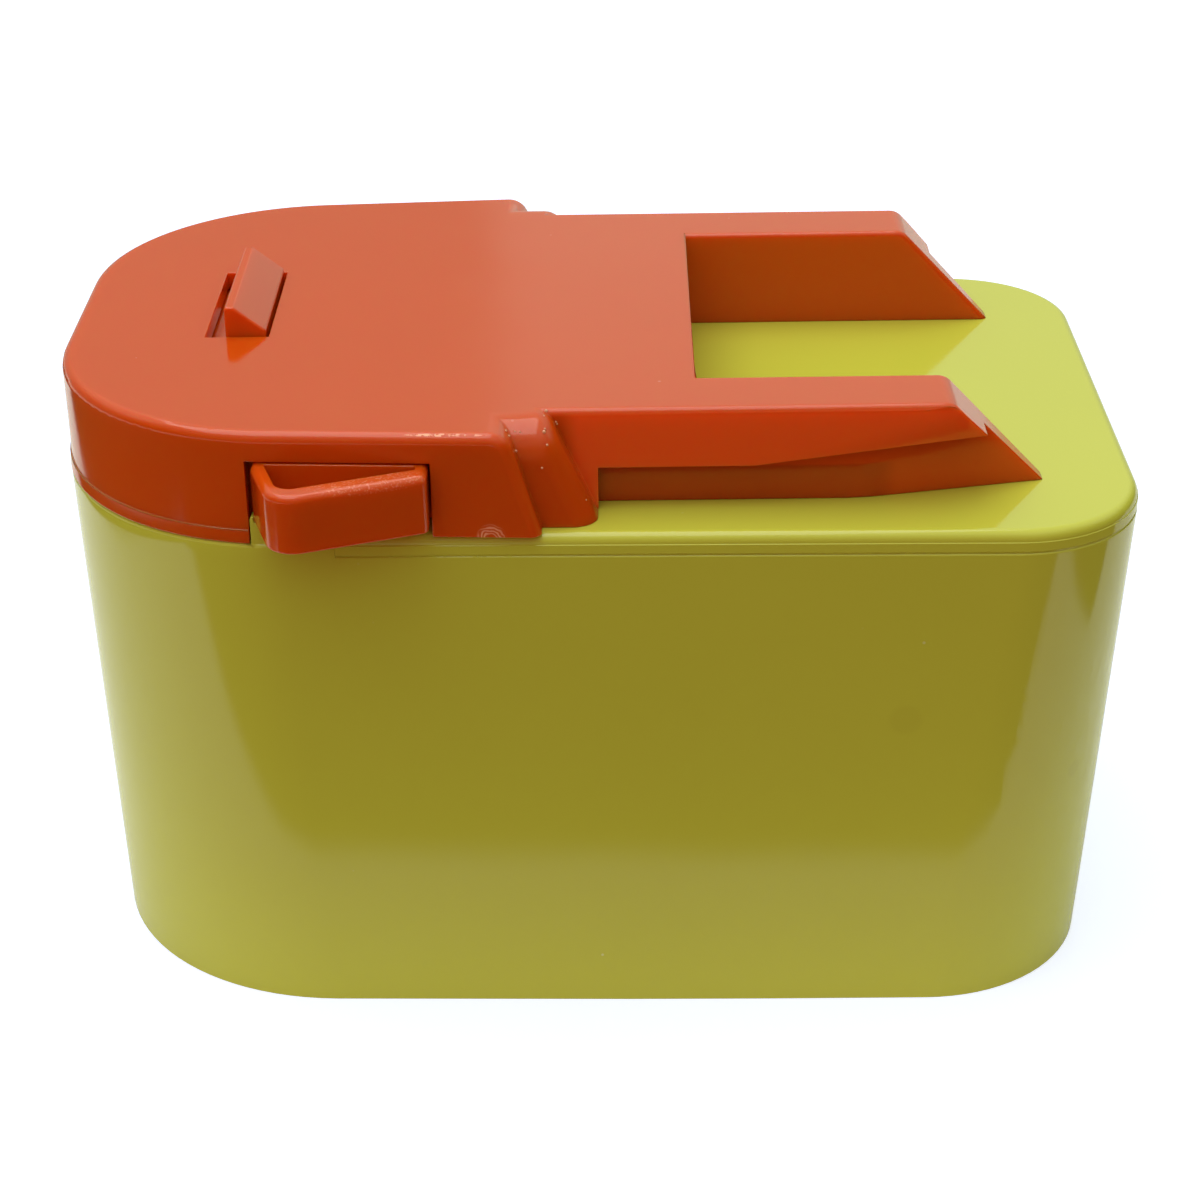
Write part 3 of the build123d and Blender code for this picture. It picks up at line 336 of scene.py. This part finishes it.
def orange_wear_and_glints(tree, where):
    """A scrape, a painted highlight along the top edge in patches of 0.7 mm, and a button edge that is grainy from
    handling.
    """
    patches = add_node(tree, "ShaderNodeTexNoise", Scale=1500.0, Detail=3.0, Vector=where)
    # painted highlight: pale glints in patches along the top edge
    edge = near(tree, where, (-15.4, -37.25, 71.82), 5.2, (1.0, 7.0, 40.0))[1]
    in_patches = soft_zone(tree, (patches.outputs["Fac"], 0.44, 0.58))
    painted_edge_glints = maths(tree, "MULTIPLY", edge, in_patches)
    speckle = add_node(tree, "ShaderNodeTexNoise", Scale=3800.0, Detail=1.0, Vector=where)
    handled = near(tree, where, (-22.5, -41.6, 68.55), 8.5, (1.0, 2.2, 8.0))[1]
    in_grains = soft_zone(tree, (speckle.outputs["Fac"], 0.48, 0.74, 0.06, 0.42))
    grainy = maths(tree, "MULTIPLY", handled, in_grains)
    marks = maths(tree, "MAXIMUM", maths(tree, "MAXIMUM", scrape(tree, where), painted_edge_glints), grainy)
    # the scrape, the grainy button edge and the painted glints share one pale colour
    return marks, "#EEA684"


print("arcs every", round(ARC_SPACING / MM, 2), "mm")


# %% [markdown]
# ## Painted light in the flanges
# Orange ABS lets some light through. The flanges along the arms stand out by only 2 mm over the grooves, with light
# on their tops, so their outer faces glow, and the grooves stay dark. Subsurface scattering alone needs many samples
# for this and gives too little, so the glow is painted: the pigment is lighter on the flanges, and painted shade
# makes it darker in the grooves.

# %% Painted glow on the flanges and painted shade in the grooves
def paint_flange_glow_and_groove_shade(tree, where, colour):
    axes = add_node(tree, "ShaderNodeSeparateXYZ", Vector=where)
    x, z = axes.outputs["X"], axes.outputs["Z"]
    side = maths(tree, "ABSOLUTE", axes.outputs["Y"])
    on_arm = (x, -3.6, -1.2)
    # the first zone is a painted glow on the flanges' outer faces, the second painted shade down in the grooves
    zones = (
        ((on_arm, (side, 29.3, 31.3), (side, 32.5, 31.8), (z, 71.8, 71.1)), "#EC5C20"),
        ((on_arm, (side, 28.4, 29.0), (side, 29.9, 29.5), (z, 64.6, 64.2)), "#B24009"),
    )
    for edges, shade in zones:
        zone = soft_zone(tree, *[(value, start * MM, end * MM) for value, start, end in edges])
        colour = mix_colours(tree, zone, colour, shade)
    return colour


print("the flanges' faces are 31.4 mm from the middle plane")


# %% [markdown]
# ## Glossy ABS
# The green and the orange mouldings are ABS from a polished mould. ABS has an IOR of about 1.5, and a polished
# moulding is nearly mirror smooth, so its roughness is low. What tells the eye that it is plastic is fine: a very
# shallow waviness where thick ribs shrank, a skin of short wipe marks, and specks of dust. All of them are noise on
# Object coordinates, with scales worked out from their sizes. The orange also lets light in: it scatters for 3 mm,
# red light furthest.

# %% Polished ABS
DUST_STRENGTH = 0.45


def pigment(tree, where, base, shade, dust_colour, wear_and_glints, painted_glow_and_shade):
    """Cloudy colour, a painted glow and painted shade where given, marks of use with painted glints, and dust, in
    this order.
    """
    # patches about 25 mm across, barely visible
    cloud = add_node(tree, "ShaderNodeTexNoise", Scale=40.0, Detail=2.0, Vector=where)
    colour = mix_colours(tree, cloud.outputs["Fac"], base, shade)
    if painted_glow_and_shade:
        colour = painted_glow_and_shade(tree, where, colour)
    wear_and_glint_share, wear_and_glint_colour = wear_and_glints(tree, where)
    colour = mix_colours(tree, wear_and_glint_share, colour, wear_and_glint_colour)
    # specks of about 0.3 mm in cells of 3.8 mm, where a coarser noise is highest
    cells = add_node(tree, "ShaderNodeTexVoronoi", Scale=260.0, Vector=where)
    speck = add_node(
        tree, "ShaderNodeMapRange",
        Value=cells.outputs["Distance"], From_Min=0.030, From_Max=0.055, To_Min=1.0, To_Max=0.0,
    )
    chance = add_node(tree, "ShaderNodeTexNoise", Scale=90.0, Detail=3.0, Vector=where)
    rare = add_node(tree, "ShaderNodeMapRange", Value=chance.outputs["Fac"], From_Min=0.58, From_Max=0.66)
    dust = maths(tree, "MULTIPLY", speck.outputs[0], rare.outputs[0])
    return mix_colours(tree, maths(tree, "MULTIPLY", dust, DUST_STRENGTH), colour, dust_colour)


def polished_abs(name, base, shade, dust_colour, wear_and_glints, glow, roughness, painted_glow_and_shade=None):
    material, tree = new_material(name)
    where = add_node(tree, "ShaderNodeTexCoord").outputs["Object"]
    colour = pigment(tree, where, base, shade, dust_colour, wear_and_glints, painted_glow_and_shade)
    # wipe marks change the gloss in flat streaks, 8 mm long and 3 mm high
    streaks = add_node(tree, "ShaderNodeMapping", Scale=(1.0, 1.0, 3.0), Vector=where)
    wipe = add_node(
        tree, "ShaderNodeTexNoise", Scale=120.0, Detail=4.0, Roughness=0.6, Vector=streaks.outputs[0]
    )
    gloss = add_node(
        tree, "ShaderNodeMapRange",
        Value=wipe.outputs["Fac"], From_Min=0.3, From_Max=0.75,
        To_Min=roughness * 0.85, To_Max=roughness * 1.25,
    )
    # waves 18 mm long where ribs shrank, and a skin of 0.7 mm, bend the reflections
    wave = add_node(tree, "ShaderNodeTexNoise", Scale=55.0, Detail=1.0, Vector=where)
    sink = add_node(tree, "ShaderNodeBump", Strength=0.30, Distance=0.2 * MM, Height=wave.outputs["Fac"])
    skin = add_node(tree, "ShaderNodeTexNoise", Scale=1400.0, Detail=2.0, Vector=where)
    peel = add_node(
        tree, "ShaderNodeBump",
        Strength=0.05, Distance=0.1 * MM, Height=skin.outputs["Fac"], Normal=sink.outputs[0],
    )
    surface = add_node(
        tree, "ShaderNodeBsdfPrincipled",
        IOR=1.50, Subsurface_Weight=glow, Subsurface_Radius=(1.0, 0.35, 0.08), Subsurface_Scale=3.0 * MM,
        Base_Color=colour, Roughness=gloss.outputs[0], Normal=peel.outputs[0],
    )
    add_node(tree, "ShaderNodeOutputMaterial", Surface=surface.outputs[0])
    return material


green_abs = polished_abs("ABS_polished_lime_green", "#C4C546", "#C1C243", "#E6E8C8", green_wear, 0.0, 0.09)
orange_abs = polished_abs(
    "ABS_polished_orange", "#CC4C0A", "#C94A09", "#F0C8B4", orange_wear_and_glints, 0.7, 0.11, paint_flange_glow_and_groove_shade
)
print("two glossy plastics of", len(green_abs.node_tree.nodes), "and", len(orange_abs.node_tree.nodes), "nodes")


# %% [markdown]
# ## The parts inside
# The hidden parts are what such an adapter holds. Glass-filled nylon is black and dull, with a fine grain. Terminals
# are nickel-plated brass, springs are drawn steel wire with lines along them, and screws are zinc-plated. The leads
# have soft silicone insulation, and the resistor is enamelled, with plain bands. A metal keeps the default IOR and
# gets its colour from the base colour.

# %% Dull plastics and rubbers
def dull_plastic(name, base, roughness, grain_mm, depth_mm):
    material, tree = new_material(name)
    place = add_node(tree, "ShaderNodeTexCoord")
    grain = add_node(
        tree, "ShaderNodeTexNoise", Scale=1 / (2 * grain_mm * MM), Detail=3.0, Vector=place.outputs["Object"]
    )
    value = add_node(tree, "ShaderNodeMapRange", Value=grain.outputs["Fac"], To_Min=0.8, To_Max=1.2)
    tone = add_node(tree, "ShaderNodeHueSaturation", Color=linear(base), Value=value.outputs[0])
    bump = add_node(
        tree, "ShaderNodeBump", Strength=0.6, Distance=depth_mm * MM, Height=grain.outputs["Fac"]
    )
    surface = add_node(
        tree, "ShaderNodeBsdfPrincipled",
        IOR=1.50, Roughness=roughness, Base_Color=tone.outputs[0], Normal=bump.outputs[0],
    )
    add_node(tree, "ShaderNodeOutputMaterial", Surface=surface.outputs[0])
    return material


black_nylon = dull_plastic("nylon_glass_filled_black", "#232325", 0.48, 0.35, 0.03)
red_silicone = dull_plastic("silicone_insulation_red", "#B01A17", 0.42, 0.5, 0.02)
black_silicone = dull_plastic("silicone_insulation_black", "#1E1E20", 0.42, 0.5, 0.02)
yellow_silicone = dull_plastic("silicone_insulation_yellow", "#D9AE1F", 0.42, 0.5, 0.02)
print("four dull plastics")


# %% Metals
LINE_STRETCH = 12.0


def worked_metal(name, base, roughness, line_mm, along):
    """Metal with fine lines along one axis: noise that is stretched along it."""
    material, tree = new_material(name)
    place = add_node(tree, "ShaderNodeTexCoord")
    scale = [1.0 if axis == along else LINE_STRETCH for axis in "XYZ"]
    lines = add_node(tree, "ShaderNodeMapping", Scale=scale, Vector=place.outputs["Object"])
    drawn = add_node(
        tree, "ShaderNodeTexNoise",
        Scale=1 / (2 * LINE_STRETCH * line_mm * MM), Detail=3.0, Vector=lines.outputs[0],
    )
    gloss = add_node(
        tree, "ShaderNodeMapRange", Value=drawn.outputs["Fac"], To_Min=roughness * 0.75, To_Max=roughness * 1.3
    )
    bump = add_node(tree, "ShaderNodeBump", Strength=0.4, Distance=0.01 * MM, Height=drawn.outputs["Fac"])
    surface = add_node(
        tree, "ShaderNodeBsdfPrincipled",
        Base_Color=linear(base), Metallic=1.0, Roughness=gloss.outputs[0], Normal=bump.outputs[0],
    )
    add_node(tree, "ShaderNodeOutputMaterial", Surface=surface.outputs[0])
    return material


nickel = worked_metal("nickel_plated_brass", "#C9C2B4", 0.24, 0.12, "Z")
wire = worked_metal("spring_wire_drawn_steel", "#A9ABB0", 0.26, 0.10, "X")
zinc = worked_metal("zinc_plated_steel", "#B4B8C2", 0.32, 0.15, "Z")
print("three metals")


# %% Enamelled resistor with plain bands
def banded_enamel():
    material, tree = new_material("resistor_enamel_tan")
    place = add_node(tree, "ShaderNodeTexCoord")
    axes = add_node(tree, "ShaderNodeSeparateXYZ", Vector=place.outputs["Object"])
    low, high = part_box("identification_resistor")
    along = add_node(tree, "ShaderNodeMapRange", Value=axes.outputs["X"], From_Min=low.x, From_Max=high.x)
    bands = add_node(tree, "ShaderNodeValToRGB", Fac=along.outputs[0])
    ramp = bands.color_ramp
    ramp.interpolation = "CONSTANT"
    tin, tan = "#A8A8A6", "#C9A67A"
    stops = (
        (0.22, tan), (0.34, "#5A3420"), (0.39, tan), (0.46, "#1A1A1A"),
        (0.51, tan), (0.58, "#B0381E"), (0.63, tan), (0.78, tin),
    )
    ramp.elements[0].color = linear(tin)
    ramp.elements.remove(ramp.elements[1])
    for start, shade in stops:
        ramp.elements.new(start).color = linear(shade)
    surface = add_node(tree, "ShaderNodeBsdfPrincipled", Roughness=0.3, IOR=1.5, Base_Color=bands.outputs[0])
    add_node(tree, "ShaderNodeOutputMaterial", Surface=surface.outputs[0])
    return material


enamel = banded_enamel()
print("resistor bands", len(enamel.node_tree.nodes), "nodes")


# %% [markdown]
# ## Mouldings with soft edges
# No moulded edge is perfectly sharp, and the thin bright line along each edge is most of what makes glossy plastic
# look real. A CAD node's mesh is loose triangles, so an edge there has nothing to round. A copy of it is merged, its
# flat faces are joined, and two modifiers finish it: Bevel rounds each edge that turns more than 35 degrees, and
# Weighted Normal keeps the flat faces flat. The copy stands in for the node and stays where the node is.

# %% Turn a bmesh into a piece
def finished_piece(work, name, material):
    mesh = bpy.data.meshes.new(name)
    work.to_mesh(mesh)
    work.free()
    mesh.polygons.foreach_set("use_smooth", [True] * len(mesh.polygons))
    mesh.materials.append(material)
    return put_in_scene(name, mesh)


print("each new piece is smooth-shaded and has one material")


# %% Merge a CAD node and soften its edges
MERGE = 0.002 * MM
FLAT_ANGLE, EDGE_ANGLE = math.radians(0.4), math.radians(35)


def moulding(node, body, material, edge_mm, clamp=False, fit=None, miter="MITER_ARC"):
    work = bmesh.new()
    work.from_mesh(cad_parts[node].data)
    bmesh.ops.remove_doubles(work, verts=work.verts, dist=MERGE)
    bmesh.ops.dissolve_degenerate(work, dist=MERGE, edges=work.edges)
    bmesh.ops.dissolve_limit(work, angle_limit=FLAT_ANGLE, verts=work.verts, edges=work.edges)
    if fit:
        fit(work.verts)
    piece = finished_piece(work, node + "_moulded", material)
    soften = piece.modifiers.new("soft_edges", "BEVEL")
    soften.width = edge_mm * MM
    soften.segments = 3
    soften.limit_method = "ANGLE"
    soften.angle_limit = EDGE_ANGLE
    soften.use_clamp_overlap = clamp
    soften.harden_normals = True
    soften.miter_outer = miter
    normals = piece.modifiers.new("flat_faces", "WEIGHTED_NORMAL")
    normals.keep_sharp = False
    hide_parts(node)
    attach(piece, body)
    print(node, len(piece.data.vertices), "vertices")


# %% [markdown]
# ## Six mouldings
# The edge sizes follow the photograph: the housing's rim and the lid are crisp, the orange pieces softer, and the
# latch softest. Two fits are closer on the real object than in the CAD model, which keeps room for its joints. Each
# is closed by moving the vertices of one edge in the copy.

# %% Close two fits and finish the mouldings
SAME_PLACE = 0.02 * MM
LID_END, LID_SHIFT = -27.15 * MM, 0.05 * MM
WINDOW_TOP, WINDOW_SHIFT = 69.1 * MM, 0.34 * MM
WINDOW_START, WINDOW_END = -36.3 * MM, -16.7 * MM


def close_lid_joint(verts):
    # the lid's nose end meets the rim with no visible gap
    for vert in verts:
        if abs(vert.co.x - LID_END) < SAME_PLACE:
            vert.co.x -= LID_SHIFT


def lower_window_top(verts):
    # the window's top edge comes down to a close fit over the button
    for vert in verts:
        if abs(vert.co.z - WINDOW_TOP) < SAME_PLACE and WINDOW_START < vert.co.x < WINDOW_END:
            vert.co.z -= WINDOW_SHIFT


moulding("housing", "base", green_abs, 0.07, miter="MITER_SHARP")
moulding("lid", "base", green_abs, 0.03, clamp=True, fit=close_lid_joint)
moulding(
    "interface_head", "base", orange_abs, 0.15, fit=lower_window_top, miter="MITER_SHARP"
)
moulding("latch", "latch", orange_abs, 0.30, miter="MITER_SHARP")
moulding("release_button_front", "button_front", orange_abs, 0.15)
moulding("release_button_rear", "button_rear", orange_abs, 0.15)


# %% [markdown]
# ## Adhesive beads and moulding flash
# Small clear beads of adhesive sit in the corners where the shoulder meets the neck and the neck meets the arm, and
# crumbs of flash stay along the joint below the lid. Each is a small flattened ball, half sunk in the surface,
# because a bead catches a point of light that paint on the surface can't.

# %% Beads at listed places
def beads(name, places_and_sizes_mm, flat, material):
    work = bmesh.new()
    for *place_mm, size_mm in places_and_sizes_mm:
        made = bmesh.ops.create_icosphere(work, subdivisions=2, radius=size_mm / 2 * MM)
        bmesh.ops.scale(work, verts=made["verts"], vec=flat)
        bmesh.ops.translate(work, verts=made["verts"], vec=[v * MM for v in place_mm])
    piece = finished_piece(work, name, material)
    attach(piece, "base")
    print(name, len(places_and_sizes_mm), "beads")


def clear_adhesive():
    # cured adhesive: glassy skin, faint yellow, so it shows the plastic's colour and a hard point of light
    material, tree = new_material("adhesive_cured_clear")
    place = add_node(tree, "ShaderNodeTexCoord")
    swirl = add_node(tree, "ShaderNodeTexNoise", Scale=2500.0, Detail=1.0, Vector=place.outputs["Object"])
    tone = mix_colours(tree, swirl.outputs["Fac"], "#D8663A", "#F4C8A0")
    surface = add_node(
        tree, "ShaderNodeBsdfPrincipled", IOR=1.55, Roughness=0.06, Coat_Weight=1.0, Base_Color=tone
    )
    add_node(tree, "ShaderNodeOutputMaterial", Surface=surface.outputs[0])
    return material


# %% Place the beads: x, y, z and diameter in mm
glue = (
    (-4.78, -31.13, 71.79, 0.36), (-4.98, -32.17, 71.67, 0.22), (-4.86, -33.95, 70.96, 0.30),
    (-4.96, -34.29, 70.77, 0.42), (-4.66, -35.11, 69.66, 0.30), (-3.75, -31.4, 70.64, 0.26),
    (-3.65, -31.4, 70.41, 0.24), (-5.22, -35.8, 67.35, 0.28), (-8.88, -34.92, 71.22, 0.30),
    (-8.57, -35.34, 70.83, 0.30), (-7.97, -34.4, 70.92, 0.22), (-7.45, -34.45, 70.88, 0.24),
    (-7.88, -35.55, 69.21, 0.32), (-0.71, -34.27, 62.9, 0.20),
)
beads("adhesive_beads", glue, (1.0, 0.7, 1.0), clear_adhesive())
flash = (
    (-21.32, -37.2, 57.95, 0.26), (-19.3, -37.22, 57.97, 0.22), (-16.57, -37.24, 57.96, 0.30),
    (-15.62, -37.26, 57.97, 0.26), (-12.47, -37.30, 57.90, 0.30), (-12.0, -37.30, 57.90, 0.24),
    (-11.41, -37.30, 57.90, 0.26), (-8.78, -37.32, 57.90, 0.34), (45.55, -38.2, 57.95, 0.24),
)
beads("flash_crumbs", flash, (1.3, 0.6, 0.5), green_abs)

# %% [markdown]
# ## Finishes for the nodes that stay
# The inner parts keep their CAD meshes, which are right as they are, and get their material in place of the plain
# one.

# %% Give each inner node its material
inner_finish = {
    black_nylon: ("socket_sleeve", "contact_carrier", "terminal_block"),
    nickel: (
        "terminal_clip_positive", "terminal_clip_negative", "terminal_clip_signal",
        "stem_contact_positive", "stem_contact_negative", "stem_contact_signal",
    ),
    red_silicone: ("lead_positive",),
    black_silicone: ("lead_negative",),
    yellow_silicone: ("lead_signal",),
    enamel: ("identification_resistor",),
    zinc: ("housing_screws", "head_screws", "carrier_screws"),
}
for material, nodes in inner_finish.items():
    for node in nodes:
        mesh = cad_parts[node].data
        mesh.materials.clear()
        mesh.materials.append(material)
    print(material.name, "on", len(nodes), "nodes")


# %% [markdown]
# ## Wound springs
# A compression spring is wire wound on a rod. Its end turns lie flat against each other, so that it stands square,
# and the turns between are open. One circle, spun round the axis with a little lift at each step, makes all of it:
# little lift for the end turns and more for the open ones.

# %% Wind a spring
END_TURNS = 0.9
END_PITCH = 2.04  # in wire radii, so the end turns all but touch
STEPS_PER_TURN = 28


def wind(height, radius, wire_radius, open_turns):
    """A spring along Z that stands on the origin, as a bmesh."""
    end_lift = END_TURNS * END_PITCH * wire_radius
    free = height - 2 * wire_radius - 2 * end_lift
    work = bmesh.new()
    circle = bmesh.ops.create_circle(work, segments=10, radius=wire_radius, cap_ends=True)
    upright = Matrix.Rotation(math.pi / 2, 3, "X")
    bmesh.ops.rotate(work, verts=circle["verts"], cent=(0, 0, 0), matrix=upright)
    bmesh.ops.translate(work, verts=circle["verts"], vec=(radius, 0, wire_radius))
    end = list(work.faces)
    for turns, lift in ((END_TURNS, end_lift), (open_turns, free), (END_TURNS, end_lift)):
        steps = round(turns * STEPS_PER_TURN)
        made = bmesh.ops.spin(
            work, geom=end, cent=(0, 0, 0), axis=(0, 0, 1), dvec=(0, 0, lift / steps),
            angle=turns * 2 * math.pi, steps=steps, use_merge=False, use_duplicate=False,
        )
        end = [g for g in made["geom_last"] if isinstance(g, bmesh.types.BMFace)]
    bmesh.ops.recalc_face_normals(work, faces=work.faces)
    return work


def wound_spring(node, axis, radius_mm, wire_mm, open_turns):
    """A wound spring in a plain one's place. It stands on the end that its axis points away from."""
    low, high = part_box(node)
    height = (high - low).dot(Vector([abs(a) for a in axis]))
    work = wind(height, radius_mm * MM, wire_mm * MM / 2, open_turns)
    turn = Vector((0, 0, 1)).rotation_difference(Vector(axis)).to_matrix()
    bmesh.ops.rotate(work, verts=work.verts, cent=(0, 0, 0), matrix=turn)
    standing_end = low if sum(axis) > 0 else high
    middle = (low + high) / 2
    foot = Vector([e if n else m for e, n, m in zip(standing_end, axis, middle)])
    bmesh.ops.translate(work, verts=work.verts, vec=foot)
    piece = finished_piece(work, node + "_wound", wire)
    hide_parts(node)
    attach(piece, "base")
    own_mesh(piece)
    print(node, round(height / MM, 1), "mm long,", len(piece.data.vertices), "vertices")


wound_spring("latch_spring", (0, 0, 1), 2.9, 0.7, 4.2)
wound_spring("button_spring_front", (0, -1, 0), 2.4, 0.6, 4.5)
wound_spring("button_spring_rear", (0, 1, 0), 2.4, 0.6, 4.5)

bpy.context.scene.view_settings.view_transform = "Standard"
